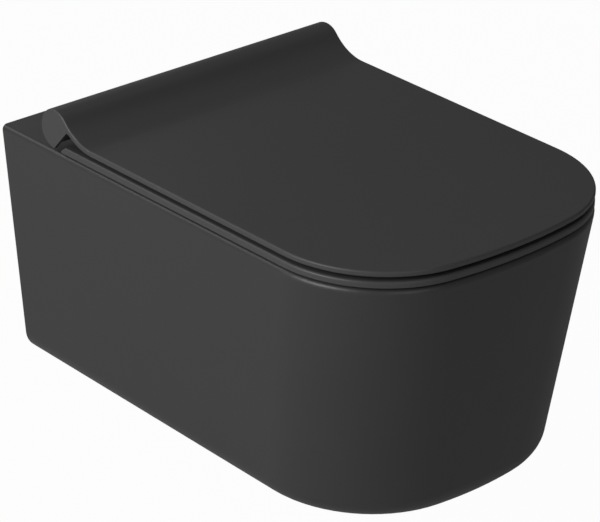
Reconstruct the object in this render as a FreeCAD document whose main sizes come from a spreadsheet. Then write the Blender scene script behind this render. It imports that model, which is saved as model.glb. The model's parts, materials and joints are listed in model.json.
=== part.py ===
import FreeCAD, Part
import math
import os
import re
import Sketcher
from FreeCAD import Placement, Rotation, Vector

# A wall hung toilet with a slim soft-close seat.  The origin is midway between the two wall
# fixings, on the wall face.  +X is the right of someone facing the wall, +Y points into the
# wall and +Z is up, so the pan stands out along -Y.

document = FreeCAD.newDocument("wall_hung_toilet")
sheet = document.addObject("Spreadsheet::Sheet", "Size")

# name, millimetres, what it measures
driving_sizes = [
    ("rim_width", 360, "ceramic, across the rim"),
    ("rim_length", 530, "ceramic, wall face to front"),
    ("rim_front_radius", 556, "plan radius of the front"),
    ("rim_corner_radius", 118, "plan radius of the front corners"),
    ("rim_height", 100, "rim above the wall fixings"),
    ("rim_edge", 6, "rounding of the rim's outer edge"),
    ("rim_slab", 13, "thickness of the rim and deck"),
    ("body_height", 262, "rim down to the underside"),
    ("base_width", 315, "widest part of the underside"),
    ("base_rear_width", 297, "underside at the wall"),
    ("base_length", 503, "underside, wall face to front"),
    ("base_front_radius", 390, "plan radius of the underside's front"),
    ("base_corner_radius", 124, "plan radius of the underside's corners"),
    ("base_edge", 24, "rounding under the sides and front"),
    ("skin_wall", 10, "wall of the outer skin"),
    ("bowl_wall", 9, "wall of the bowl and waterways"),
    ("back_wall", 12, "wall behind the fixings and the inlet"),
    ("region_grow", 0.5, "how far a part of the casting takes in its neighbours"),
    ("mouth_width", 252, "bowl opening, across"),
    ("mouth_front", 483, "bowl opening, wall face to its front"),
    ("mouth_rear", 127, "bowl opening, wall face to its rear"),
    ("mouth_front_radius", 200, "plan radius of the opening's front"),
    ("mouth_corner_radius", 95, "plan radius of its front corners"),
    ("mouth_rear_radius", 60, "plan radius of its rear corners"),
    ("mouth_lip", 15, "upright lip below the rim"),
    ("mouth_edge", 4, "rounding of the opening's top edge"),
    ("sump_width", 72, "floor of the sump, across"),
    ("sump_front", 330, "floor of the sump, wall face to its front"),
    ("sump_rear", 256, "floor of the sump, wall face to its rear"),
    ("sump_front_radius", 60, "plan radius of the sump's front"),
    ("sump_corner_radius", 33, "plan radius of its front corners"),
    ("sump_rear_radius", 30, "plan radius of its rear corners"),
    ("sump_depth", 250, "floor of the sump below the rim"),
    ("bowl_curve", 2.2, "how late the sides turn in"),
    ("basin_middle", 313, "where the basin is parted into front and rear, from the wall face"),
    ("basin_high", 60, "where its upper block ends, below the rim"),
    ("basin_mid", 120, "where its middle block ends, below the rim"),
    ("basin_low", 185, "where its lower block ends, below the rim"),
    ("bowl_rear_curve", 0.7, "how late the rear turns in"),
    ("outlet_drop", 200, "outlet axis below the rim"),
    ("outlet_outer", 102, "outlet spigot, outside"),
    ("outlet_inner", 84, "outlet spigot, inside"),
    ("outlet_depth", 45, "outlet spigot, length"),
    ("trap_bore", 58, "trapway, inside"),
    ("bend_swell", 1, "how much fuller the waterways are at their bends"),
    ("trap_entry", 205, "trapway, wall face to where it turns up"),
    ("trap_entry_drop", 220, "trapway entry below the rim"),
    ("trap_crest_front", 148, "crest of the trapway, its front corner"),
    ("trap_crest_rear", 112, "crest of the trapway, its rear corner"),
    ("trap_crest_drop", 114, "crest's centreline below the rim"),
    ("trap_exit", 80, "trapway, wall face to where it turns to the outlet"),
    ("inlet_drop", 65, "flush inlet axis below the rim"),
    ("inlet_bore", 55, "flush inlet socket, inside"),
    ("inlet_depth", 50, "flush inlet socket, depth"),
    ("flush_bore", 36, "flush passage, inside"),
    ("flush_exit", 152, "flush passage, wall face to the bowl"),
    ("flush_exit_drop", 38, "flush passage's exit below the rim"),
    ("fixing_spacing", 180, "between the wall fixings"),
    ("fixing_boss", 52, "boss round each fixing, outside"),
    ("fixing_depth", 64, "depth of the boss's socket"),
    ("sleeve_outer", 31.6, "fixing sleeve, outside"),
    ("sleeve_length", 60, "fixing sleeve"),
    ("sleeve_play", 0.2, "gap round the sleeve"),
    ("rod_bore", 12.2, "hole for the wall's threaded rod"),
    ("nut_across", 19, "hexagon nut, across its flats"),
    ("nut_height", 10, "hexagon nut"),
    ("screw_from_wall", 38, "locking screw, from the wall face"),
    ("screw_thread", 8, "locking screw"),
    ("screw_length", 46, "locking screw"),
    ("insert_outer", 14, "threaded insert, outside"),
    ("insert_length", 24, "threaded insert"),
    ("access_width", 236, "opening in the underside, across"),
    ("access_length", 112, "opening in the underside, from the wall face"),
    ("seat_gap", 1.2, "seat ring above the rim"),
    ("seat_thick", 7.2, "seat ring"),
    ("seat_inset", 1, "seat and lid inside the rim's outline"),
    ("seat_rear", 91, "seat ring, wall face to its rear edge"),
    ("seat_hollow_play", 0.8, "seat ring's hollowed rear edge, clear of the barrel"),
    ("seat_edge", 2.6, "rounding of the seat ring's edges"),
    ("seat_hole_width", 222, "opening in the seat, across"),
    ("seat_hole_front", 462, "opening in the seat, wall face to its front"),
    ("seat_hole_rear", 158, "opening in the seat, wall face to its rear"),
    ("seat_hole_front_radius", 170, "plan radius of that opening's front"),
    ("seat_hole_corner_radius", 88, "plan radius of its front corners"),
    ("seat_hole_rear_radius", 80, "plan radius of its rear corners"),
    ("lid_gap", 4, "lid above the seat ring"),
    ("lid_thick", 6.2, "lid"),
    ("lid_edge", 2, "rounding of the lid's edges"),
    ("lid_sweep", 55, "radius of the lid's rise to the barrel"),
    ("axis_rear", 80, "hinge axis, from the wall face"),
    ("axis_rise", 22.5, "hinge axis above the rim"),
    ("barrel_outer", 20.5, "barrel's outer radius"),
    ("barrel_wall", 3.2, "barrel's wall"),
    ("barrel_cap", 4, "barrel's end wall"),
    ("barrel_flat", 12.6, "flat on the barrel's ends, from the axis"),
    ("barrel_flat_tilt", 40, "which way the flat looks, in degrees below straight ahead"),
    ("barrel_underside", 11.8, "barrel's open underside, below the axis"),
    ("barrel_back", 9.6, "edge of the barrel behind each post, behind the axis"),
    ("barrel_front", 1.4, "edge of the barrel before each post, above the axis"),
    ("post_spacing", 155, "between the two seat fixing holes"),
    ("post_width", 26, "hinge post, across"),
    ("post_front", 16, "hinge post, in front of the axis"),
    ("post_back", 12, "hinge post, behind the axis"),
    ("knuckle_radius", 15, "knuckles of the posts and the seat's ears"),
    ("knuckle_play", 0.7, "side gap between knuckles"),
    ("ear_width", 28, "seat ring's ear, across"),
    ("boss_width", 27, "lid's hinge boss, across"),
    ("pin_diameter", 10, "plain hinge pin"),
    ("bush_outer", 16, "bush round the hinge pin"),
    ("running_play", 0.05, "gap round what turns or slides"),
    ("shaft_flat", 7, "damper shaft, across its flats"),
    ("shaft_grip", 11, "length of a shaft or pin inside a post"),
    ("damper_outer", 20, "damper housing, outside"),
    ("damper_length", 25, "damper housing"),
    ("damper_wall", 1.6, "damper housing's wall"),
    ("gasket_thick", 1, "gasket under each stud"),
    ("stud_flange", 25.6, "stud's flange, across"),
    ("stud_flange_thick", 3, "stud's flange"),
    ("stud_pin", 16, "stud's pin, across"),
    ("stud_pin_height", 11, "stud's pin above its flange"),
    ("stud_play", 0.1, "gap between the stud and the post"),
    ("groove_height", 6.6, "middle of the stud's groove above its flange"),
    ("groove_width", 2.4, "stud's groove"),
    ("groove_depth", 1.6, "stud's groove"),
    ("bolt_thread", 6, "seat bolt"),
    ("bolt_head", 10, "seat bolt's head, across"),
    ("bolt_head_height", 5.6, "seat bolt's head"),
    ("bolt_reach", 47, "seat bolt below the deck"),
    ("deck_hole", 14, "hole in the deck for each stud"),
    ("expander_length", 38, "rubber expander"),
    ("expander_bulge", 20, "rubber expander where it is squeezed"),
    ("expander_nut_length", 8, "nut under the expander"),
    ("clip_thick", 1.2, "spring clip round the stud"),
    ("clip_width", 18, "spring clip, across"),
    ("clip_throat", 3, "gap between the clip's arms"),
    ("wedge_tip", 2.4, "button's wedge, across its tip"),
    ("wedge_base", 6, "button's wedge, across its base"),
    ("wedge_length", 2.6, "button's wedge"),
    ("wedge_thick", 1.6, "button's wedge"),
    ("wedge_rest", 8.9, "tip of the wedge in front of the stud's axis"),
    ("button_diameter", 8, "release button"),
    ("button_proud", 2.9, "release button, out of the post"),
    ("button_collar", 9.6, "collar that keeps the button in"),
    ("button_collar_thick", 1.2, "that collar"),
    ("button_face", 1, "post's wall in front of the collar"),
    ("spring_wire", 0.5, "button spring's wire"),
    ("spring_turns", 3, "button spring's turns"),
    ("buffer_diameter", 14, "lid buffer"),
    ("pad_diameter", 18, "seat buffer"),
    ("pad_recess", 4, "seat buffer's recess"),
    ("buffer_play", 0.1, "gap under the buffers"),
    ("buffer_half_spacing", 145, "buffers, from the middle"),
    ("buffer_rear", 205, "rear buffers, from the wall face"),
    ("buffer_front", 425, "front buffers, from the wall face"),
]

for row, (alias, value, note) in enumerate(driving_sizes, start=1):
    sheet.set(f"A{row}", alias)
    sheet.set(f"B{row}", str(value))
    sheet.setAlias(f"B{row}", alias)
    sheet.set(f"C{row}", note)
document.recompute()
size = {alias: float(sheet.get(alias)) for alias, value, note in driving_sizes}

# heights and places that several pieces share, as expressions on the sheet
seat_bottom = "(rim_height + seat_gap)"
seat_top = f"({seat_bottom} + seat_thick)"
lid_bottom = f"({seat_top} + lid_gap)"
lid_top = f"({lid_bottom} + lid_thick)"
axis_z = "(rim_height + axis_rise)"
flange_top = "(rim_height + gasket_thick + stud_flange_thick)"
post_bottom = f"({flange_top} + stud_play)"
latch_z = f"({flange_top} + groove_height)"
post_inner = "(post_spacing / 2 - post_width / 2)"
post_outer = "(post_spacing / 2 + post_width / 2)"
ear_inner = f"({post_outer} + knuckle_play)"
boss_outer = f"({post_inner} - knuckle_play)"
outlet_z = "(rim_height - outlet_drop)"
inlet_z = "(rim_height - inlet_drop)"
sleeve_socket = "(sleeve_outer / 2 + sleeve_play)"
insert_top = f"(-{sleeve_socket} - 1)"
insert_bottom = f"({insert_top} - insert_length)"
collar_back = "(axis_rear + stud_pin / 2 + 0.6)"
collar_front = "(axis_rear + post_front - button_face)"

turn_to = {
    "x": Rotation(Vector(0, 1, 0), 90),
    "y": Rotation(Vector(-1, 0, 0), 90),
    "z": Rotation(),
}
sub_parts = []


def on_sheet(text):
    """Turn plain size names into references to the sheet."""
    return re.sub(r"[a-z][a-z_]*", lambda m: f"Size.{m[0]}" if m[0] in size else m[0], str(text))


def bind(thing, **expressions):
    for property_name, text in expressions.items():
        thing.setExpression(property_name.replace("__", "."), on_sheet(text))


def place(thing, x=0, y=0, z=0, turn=Rotation()):
    thing.Placement = Placement(Vector(), turn)
    bind(thing, Placement__Base__x=x, Placement__Base__y=y, Placement__Base__z=z)
    return thing


def box(name, low_x, low_y, low_z, high_x, high_y, high_z):
    """A box between two corners."""
    block = document.addObject("Part::Box", name)
    bind(block, Length=f"({high_x}) - ({low_x})", Width=f"({high_y}) - ({low_y})")
    bind(block, Height=f"({high_z}) - ({low_z})")
    return place(block, low_x, low_y, low_z)


def rod(name, radius, length, x, y, z, along="z"):
    """A cylinder that starts at a point and runs along an axis."""
    bar = document.addObject("Part::Cylinder", name)
    bind(bar, Radius=radius, Height=length)
    return place(bar, x, y, z, turn_to[along])


def hexagon(name, across_flats, length, x, y, z, along="z"):
    prism = document.addObject("Part::Prism", name)
    prism.Polygon = 6
    bind(prism, Circumradius=f"({across_flats}) / sqrt(3)", Height=length)
    return place(prism, x, y, z, turn_to[along])


def joined(name, *pieces):
    whole = document.addObject("Part::MultiFuse", name)
    whole.Shapes = list(pieces)
    whole.Refine = True
    return whole


def trimmed(name, base, *tools):
    whole = document.addObject("Part::Cut", name)
    whole.Base = base
    whole.Tool = tools[0] if len(tools) == 1 else joined(name + "_tools", *tools)
    whole.Refine = True
    return whole


def shared(name, first, second):
    whole = document.addObject("Part::Common", name)
    whole.Base = first
    whole.Tool = second
    whole.Refine = True
    return whole


def mirrored(name, piece):
    """The same piece on the other side of the toilet."""
    twin = document.addObject("Part::Mirroring", name)
    twin.Source = piece
    twin.Base = Vector()
    twin.Normal = Vector(1, 0, 0)
    return twin


def grouped(name, *pieces):
    group = document.addObject("Part::Compound", name)
    group.Links = list(pieces)
    return group


def finished(node, thing):
    """Name a sub-part after its node and keep it for the export."""
    thing.Label = node
    sub_parts.append((node, thing))
    return thing


def origin_plane(body, role):
    return next(plane for plane in body.Origin.OriginFeatures if plane.Role == role)


def new_sketch(body, name, role="XY_Plane", height=0):
    sketch = body.newObject("Sketcher::SketchObject", name)
    sketch.AttachmentSupport = [(origin_plane(body, role), "")]
    sketch.MapMode = "FlatFace"
    bind(sketch, AttachmentOffset__Base__z=height)
    return sketch


def new_body(name):
    return document.addObject("PartDesign::Body", name)


def number(text):
    """The present value of an expression on the sheet."""
    holder = document.getObject("Reckoner") or document.addObject("App::FeaturePython", "Reckoner")
    if "Result" not in holder.PropertiesList:
        holder.addProperty("App::PropertyFloat", "Result")
    holder.setExpression("Result", on_sheet(text))
    holder.recompute()
    return holder.Result


def dimension(sketch, kind, places, text, name):
    """Add a constraint whose value is an expression on the sheet."""
    index = sketch.addConstraint(Sketcher.Constraint(kind, *places, number(text)))
    sketch.renameConstraint(index, name)
    sketch.setExpression(f"Constraints.{name}", on_sheet(text))


def draw_outline(sketch, half_width, front, rear, front_radius, corner_radius,
                 rear_radius=None, rear_half_width=None):
    """A plan outline that is square or rounded at the wall end and bowed at the front.

    front and rear are distances from the wall face.  The sides are tangent to the front
    corners, and the corners to the front.
    """
    half = number(half_width)
    bow = number(front_radius)
    corner = number(corner_radius)
    rear_half = number(rear_half_width) if rear_half_width else half
    rear_y = -number(rear)
    bow_y = bow - number(front)
    corner_x = half - corner
    corner_y = bow_y - math.sqrt((bow - corner) ** 2 - corner_x ** 2)
    bow_angle = math.atan2(corner_y - bow_y, corner_x)
    side_angle = 0.0
    if rear_half_width:
        dx, dy = rear_half - corner_x, rear_y - corner_y
        side_angle = math.atan2(dy, dx) - math.acos(corner / math.hypot(dx, dy))
    side_x = corner_x + corner * math.cos(side_angle)
    side_y = corner_y + corner * math.sin(side_angle)
    up = Vector(0, 0, 1)

    def arc(x, y, radius, start, end):
        return Part.ArcOfCircle(Part.Circle(Vector(x, y, 0), up, radius), start, end)

    def line(x1, y1, x2, y2):
        return Part.LineSegment(Vector(x1, y1, 0), Vector(x2, y2, 0))

    turn = math.pi
    right_corner = sketch.addGeometry(arc(corner_x, corner_y, corner, bow_angle, side_angle))
    front_bow = sketch.addGeometry(arc(0, bow_y, bow, -turn - bow_angle, bow_angle))
    left_corner = sketch.addGeometry(
        arc(-corner_x, corner_y, corner, -turn - side_angle, -turn - bow_angle))
    tangents = [(front_bow, 2, right_corner, 1), (left_corner, 2, front_bow, 1)]
    if rear_radius:
        round_off = number(rear_radius)
        centre_y = rear_y - round_off
        centre_x = half - round_off
        right_side = sketch.addGeometry(line(half, side_y, half, centre_y))
        right_rear = sketch.addGeometry(arc(centre_x, centre_y, round_off, 0, turn / 2))
        rear_line = sketch.addGeometry(line(centre_x, rear_y, -centre_x, rear_y))
        left_rear = sketch.addGeometry(arc(-centre_x, centre_y, round_off, turn / 2, turn))
        left_side = sketch.addGeometry(line(-half, centre_y, -half, side_y))
        tangents += [(right_corner, 2, right_side, 1), (right_side, 2, right_rear, 1),
                     (right_rear, 2, rear_line, 1), (rear_line, 2, left_rear, 1),
                     (left_rear, 2, left_side, 1), (left_side, 2, left_corner, 1)]
    else:
        right_side = sketch.addGeometry(line(side_x, side_y, rear_half, rear_y))
        rear_line = sketch.addGeometry(line(rear_half, rear_y, -rear_half, rear_y))
        left_side = sketch.addGeometry(line(-rear_half, rear_y, -side_x, side_y))
        tangents += [(right_corner, 2, right_side, 1), (left_side, 2, left_corner, 1)]
        sketch.addConstraint(Sketcher.Constraint("Coincident", right_side, 2, rear_line, 1))
        sketch.addConstraint(Sketcher.Constraint("Coincident", rear_line, 2, left_side, 1))
    for places in tangents:
        sketch.addConstraint(Sketcher.Constraint("Tangent", *places))
    sketch.addConstraint(Sketcher.Constraint("Symmetric", rear_line, 1, rear_line, 2, -2))
    sketch.addConstraint(Sketcher.Constraint("PointOnObject", front_bow, 3, -2))
    sketch.addConstraint(Sketcher.Constraint("Symmetric", right_corner, 3, left_corner, 3, -2))
    dimension(sketch, "Radius", (front_bow,), front_radius, "front_bow")
    dimension(sketch, "Radius", (right_corner,), corner_radius, "right_corner")
    dimension(sketch, "DistanceY", (-1, 1, front_bow, 3), f"({front_radius}) - ({front})", "bow_centre")
    dimension(sketch, "DistanceX", (-1, 1, right_corner, 3),
              f"({half_width}) - ({corner_radius})", "corner_centre")
    dimension(sketch, "DistanceY", (-1, 1, rear_line, 1), f"-({rear})", "rear_edge")
    if rear_radius:
        sketch.addConstraint(Sketcher.Constraint("Vertical", right_side))
        sketch.addConstraint(Sketcher.Constraint("Vertical", left_side))
        dimension(sketch, "Radius", (right_rear,), rear_radius, "right_rear")
    else:
        dimension(sketch, "DistanceX", (-1, 1, right_side, 2), rear_half_width or half_width,
                  "rear_half")
    return sketch


def lofted(name, outlines, ruled=False):
    """A body through plan outlines given as (height, outline sizes)."""
    body = new_body(name)
    sketches = []
    for index, (height, outline) in enumerate(outlines):
        sketches.append(draw_outline(new_sketch(body, f"{name}_{index}", height=height), **outline))
    document.recompute()
    loft = body.newObject("PartDesign::AdditiveLoft", name + "_loft")
    loft.Profile = sketches[0]
    loft.Sections = sketches[1:]
    loft.Ruled = ruled
    document.recompute()
    return body


def edges_where(shape, test):
    """Names of the edges whose middle point passes a test."""
    names = []
    for index, edge in enumerate(shape.Edges, start=1):
        middle = edge.valueAt((edge.FirstParameter + edge.LastParameter) / 2)
        if test(edge, middle):
            names.append(f"Edge{index}")
    return names


def rounded(body, radius, test):
    """Round a body's edges that pass a test."""
    base = body.Tip
    fillet = body.newObject("PartDesign::Fillet", f"{body.Name}_round_{len(body.Group)}")
    fillet.Base = (base, edges_where(base.Shape, test))
    bind(fillet, Radius=radius)
    document.recompute()
    return fillet


# --- the ceramic pan -------------------------------------------------------------------------

def skin_outline(drop, inset="0", rear="0"):
    """The pan's outside in plan, a given drop below the rim and inset by a wall."""
    share = f"(({drop}) / body_height)"

    def between(top, bottom):
        return f"({top} + ({bottom} - {top}) * {share})"

    return dict(
        half_width=f"{between('rim_width', 'base_width')} / 2 - {inset}",
        front=f"{between('rim_length', 'base_length')} - {inset}",
        rear=rear,
        front_radius=f"{between('rim_front_radius', 'base_front_radius')} - {inset}",
        corner_radius=f"{between('rim_corner_radius', 'base_corner_radius')} - {inset}",
        rear_half_width=f"{between('rim_width', 'base_rear_width')} / 2 - {inset}",
    )


def near(value, target, slack=0.5):
    return abs(value - target) < slack


def rounding(radius, steps):
    """Points on a quarter circle, as (how far along the wall, how far in from it)."""
    for step in range(steps + 1):
        angle = math.pi / 2 * step / steps
        yield f"{radius} * {1 - math.cos(angle):.5f}", f"{radius} * {1 - math.sin(angle):.5f}"


def make_skin():
    base = []
    for rise, inset in rounding("base_edge", 6):
        drop = f"(body_height - {rise})"
        base.append((f"rim_height - {drop}", skin_outline(drop, f"({inset})", "-1")))
    rim = []
    for inset, drop in rounding("rim_edge", 4):
        rim.append((f"rim_height - {drop}", skin_outline(drop, f"({inset})", "-1")))
    return joined("skin", lofted("skin_base", base),
                  lofted("skin_sides", [base[-1], rim[0]], ruled=True),
                  lofted("skin_rim", rim))


def make_core():
    """The hollow between the skin and the bowl, open at the wall."""
    base = []
    for rise, inset in rounding("(base_edge - skin_wall)", 4):
        drop = f"(body_height - skin_wall - {rise})"
        base.append((f"rim_height - {drop}", skin_outline(drop, f"({inset} + skin_wall)", "-1")))
    top = ("rim_height - rim_slab", skin_outline("rim_slab", "skin_wall", "-1"))
    return joined("core", lofted("core_base", base),
                  lofted("core_sides", [base[-1], top], ruled=True))


def bowl_outline(share, offset):
    """The bowl in plan, from 0 at its lip to 1 at the sump's floor."""
    side = f"pow({share}; bowl_curve)"
    rear = f"pow({share}; bowl_rear_curve)"

    def between(top, bottom, turn=side):
        return f"({top} + ({bottom} - {top}) * {turn})"

    return dict(
        half_width=f"{between('mouth_width', 'sump_width')} / 2 + {offset}",
        front=f"{between('mouth_front', 'sump_front')} + {offset}",
        rear=f"{between('mouth_rear', 'sump_rear', rear)} - {offset}",
        front_radius=f"{between('mouth_front_radius', 'sump_front_radius')} + {offset}",
        corner_radius=f"{between('mouth_corner_radius', 'sump_corner_radius')} + {offset}",
        rear_radius=f"{between('mouth_rear_radius', 'sump_rear_radius')} + {offset}",
    )


def make_bowl(name, offset, above_rim):
    """The bowl's inside, or its outside with the wall as the offset."""
    steps = 6
    outlines = [(f"rim_height + {above_rim}", bowl_outline(0, offset))]
    for step in range(steps + 1):
        share = step / steps
        deeper = offset if step == steps else "0"
        height = f"rim_height - mouth_lip - (sump_depth - mouth_lip) * {share} - {deeper}"
        outlines.append((height, bowl_outline(share, offset)))
    return lofted(name, outlines)


def make_mouth_edge():
    """The flare that rounds the bowl's top edge."""
    flare = [(f"rim_height - {spread}", bowl_outline(0, f"({drop})"))
             for drop, spread in rounding("mouth_edge", 4)]
    return lofted("mouth_edge", flare)


def passage(name, points, radius):
    """A round passage in the toilet's middle plane, through points given as (y, z).

    Each run leads towards the wall, so its angle from straight up is positive.
    """
    pieces = []
    for index, ((y, z), (next_y, next_z)) in enumerate(zip(points, points[1:])):
        run_y = f"(({next_y}) - ({y}))"
        run_z = f"(({next_z}) - ({z}))"
        length = f"sqrt({run_y} * {run_y} + {run_z} * {run_z})"
        run = rod(f"{name}_run_{index}", radius, length, 0, y, z, "y")
        bind(run, Placement__Rotation__Angle=f"atan2({run_y}; {run_z})")
        pieces.append(run)
    for index, (y, z) in enumerate(points[1:-1]):
        bend = document.addObject("Part::Sphere", f"{name}_bend_{index}")
        bind(bend, Radius=f"{radius} + bend_swell")
        pieces.append(place(bend, 0, y, z))
    return joined(name, *pieces)


def in_blocks(name, whole, *cuts):
    """One piece parted by planes across x, y and z, each given as a row of planes in order."""
    blocks = []
    for low_x, high_x in zip(cuts[0], cuts[0][1:]):
        for low_y, high_y in zip(cuts[1], cuts[1][1:]):
            for low_z, high_z in zip(cuts[2], cuts[2][1:]):
                label = f"{name}_{len(blocks)}"
                block = box(label + "_block", low_x, low_y, low_z, high_x, high_y, high_z)
                blocks.append(shared(label, whole, block))
    return grouped(name, *blocks)


def make_pan():
    wall = "bowl_wall"
    past = 1
    trap_points = [
        ("-(trap_entry + trap_bore)", "rim_height - trap_entry_drop"),
        ("-trap_entry", "rim_height - trap_entry_drop"),
        ("-trap_crest_front", "rim_height - trap_crest_drop"),
        ("-trap_crest_rear", "rim_height - trap_crest_drop"),
        ("-trap_exit", outlet_z),
        ("-outlet_depth / 2", outlet_z),
    ]
    flush_points = [
        ("-flush_exit", "rim_height - flush_exit_drop"),
        ("-(inlet_depth + flush_bore / 4)", inlet_z),
        ("-inlet_depth / 2", inlet_z),
    ]
    skin = make_skin()
    core = make_core()
    bowl_outside = make_bowl("bowl_outside", wall, -1)
    bowl_inside = make_bowl("bowl_inside", "0", 1)
    trap_outside = passage("trap_outside", trap_points, f"trap_bore / 2 + {wall}")
    trap_inside = passage("trap_inside", trap_points, "trap_bore / 2")
    flush_outside = passage("flush_outside", flush_points, f"flush_bore / 2 + {wall}")
    flush_inside = passage("flush_inside", flush_points, "flush_bore / 2")

    solids = [bowl_outside, trap_outside, flush_outside]
    spigot_length = f"(outlet_depth + {wall})"
    solids.append(rod("spigot", "outlet_outer / 2", spigot_length, 0, f"-{spigot_length}",
                      outlet_z, "y"))
    socket_length = f"(inlet_depth + {wall})"
    solids.append(rod("inlet", f"inlet_bore / 2 + {wall}", socket_length, 0,
                      f"-{socket_length}", inlet_z, "y"))
    hollows = [bowl_inside, trap_inside, flush_inside]
    hollows.append(rod("outlet_bore", "outlet_inner / 2", f"outlet_depth + {past}", 0,
                       "-outlet_depth", outlet_z, "y"))
    hollows.append(rod("inlet_socket", "inlet_bore / 2", f"inlet_depth + {past}", 0,
                       "-inlet_depth", inlet_z, "y"))
    for side, sign in (("left", "-"), ("right", "")):
        fixing_x = f"{sign}fixing_spacing / 2"
        boss_length = f"(fixing_depth + {wall})"
        solids.append(rod(f"fixing_boss_{side}", "fixing_boss / 2", boss_length, fixing_x,
                          f"-{boss_length}", 0, "y"))
        solids.append(rod(f"screw_boss_{side}", f"insert_outer / 2 + {wall} / 2 + 1",
                          f"-{insert_bottom}", fixing_x, "-screw_from_wall", insert_bottom))
        hollows.append(rod(f"fixing_socket_{side}", sleeve_socket, f"fixing_depth + {past}",
                           fixing_x, "-fixing_depth", 0, "y"))
        hollows.append(rod(f"insert_hole_{side}", "insert_outer / 2", f"{past} - {insert_bottom}",
                           fixing_x, "-screw_from_wall", f"{insert_bottom} - {past}"))
        hollows.append(rod(f"deck_hole_{side}", "deck_hole / 2", f"rim_slab + {2 * past}",
                           f"{sign}post_spacing / 2", "-axis_rear",
                           f"rim_height - rim_slab - {past}"))
    solids.append(box("back_wall", "-rim_width / 2", "-back_wall", "-(fixing_boss / 2 + 4)",
                      "rim_width / 2", past, "rim_height"))
    hollows.append(make_mouth_edge())
    floor = "(rim_height - body_height)"
    hollows.append(box("access", "-access_width / 2", "-access_length", f"{floor} - {past}",
                       "access_width / 2", past, f"{floor} + skin_wall + 0.3"))
    hollows.append(box("behind", "-rim_width", 0, f"{floor} - {past}", "rim_width", 2 * past,
                       f"rim_height + {past}"))
    hollow = trimmed("hollow", core, *solids)
    shell = trimmed("shell", skin, hollow)
    pan = trimmed("pan", shell, *hollows)

    # One casting, parted where its forms meet so that each can collide with its own hollows open
    grown_wall = f"{wall} + region_grow"
    boss_reach = f"-(fixing_depth + {grown_wall})"
    back_half = "(base_rear_width / 2 - skin_wall)"
    spigot_region = rod("spigot_region", "outlet_outer / 2 + region_grow",
                        f"{spigot_length} + region_grow + {past}", 0,
                        f"-({spigot_length} + region_grow)", outlet_z, "y")
    inlet_region = rod("inlet_region", f"inlet_bore / 2 + {grown_wall}",
                       f"{socket_length} + region_grow + {past}", 0,
                       f"-({socket_length} + region_grow)", inlet_z, "y")
    trap_region = passage("trap_region", trap_points, f"trap_bore / 2 + {grown_wall}")
    flush_region = passage("flush_region", flush_points, f"flush_bore / 2 + {grown_wall}")
    regions = [
        ("bowl_basin", make_bowl("basin_region", f"({grown_wall})", past)),
        ("bowl_rim", box("rim_region", "-rim_width", f"-rim_length - {past}",
                         "rim_height - rim_slab", "rim_width", past, f"rim_height + {past}")),
        ("bowl_trapway", joined("trapway_region", trap_region, spigot_region)),
        ("bowl_flush_way", joined("flush_way_region", flush_region, inlet_region)),
        ("bowl_back", box("back_region", f"-{back_half}", boss_reach,
                          f"{insert_bottom} - region_grow", back_half, past, "rim_height")),
    ]
    # the basin is parted further, because short blocks of its wall stay near their hulls
    basin_cuts = [
        ("-rim_width", 0, "rim_width"),
        (f"-rim_length - {past}", "-basin_middle", past),
        (floor, *(f"rim_height - {drop}" for drop in ("basin_low", "basin_mid", "basin_high")),
         f"rim_height + {past}"),
    ]
    rest = pan
    for node, region in regions:
        piece = shared(node + "_piece", rest, region)
        if node == "bowl_basin":
            piece = in_blocks("basin", piece, *basin_cuts)
        finished(node, piece)
        rest = trimmed(node + "_rest", rest, region)
    finished("bowl_skin", rest)


# --- what holds the pan on the wall ----------------------------------------------------------

def both_sides(node, piece):
    """A sub-part that is one pair of the same fastener."""
    return finished(node, grouped(node + "_pair", piece, mirrored(node + "_twin", piece)))


def make_wall_fixings():
    x = "fixing_spacing / 2"
    recess = "(nut_height + 1)"
    barrel = rod("sleeve_barrel", "sleeve_outer / 2", "sleeve_length", x, "-sleeve_length", 0, "y")
    bore = rod("sleeve_bore", "rod_bore / 2", "sleeve_length", x, "-sleeve_length", 0, "y")
    pocket = hexagon("sleeve_pocket", "nut_across + 0.4", recess, x, "-sleeve_length", 0, "y")
    both_sides("wall_sleeve", trimmed("sleeve", barrel, bore, pocket))

    nut_y = "-sleeve_length + 0.5"
    nut = hexagon("rod_nut_blank", "nut_across", "nut_height", x, nut_y, 0, "y")
    thread = rod("rod_nut_thread", "rod_bore / 2", "nut_height", x, nut_y, 0, "y")
    both_sides("rod_nut", trimmed("rod_nut_one", nut, thread))

    y = "-screw_from_wall"
    tip = f"-({sleeve_socket} - sleeve_play)"
    insert = rod("insert_blank", "insert_outer / 2", "insert_length", x, y, insert_bottom)
    insert_thread = rod("insert_thread", "screw_thread / 2 + running_play", "insert_length", x, y,
                        insert_bottom)
    both_sides("screw_insert", trimmed("insert", insert, insert_thread))

    screw_bottom = f"{tip} - screw_length"
    shank = rod("lock_shank", "screw_thread / 2", "screw_length", x, y, screw_bottom)
    socket = hexagon("lock_socket", "screw_thread / 2", "screw_thread / 2", x, y, screw_bottom)
    both_sides("locking_screw", trimmed("lock", shank, socket))


# --- the studs that carry the seat -----------------------------------------------------------

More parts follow.
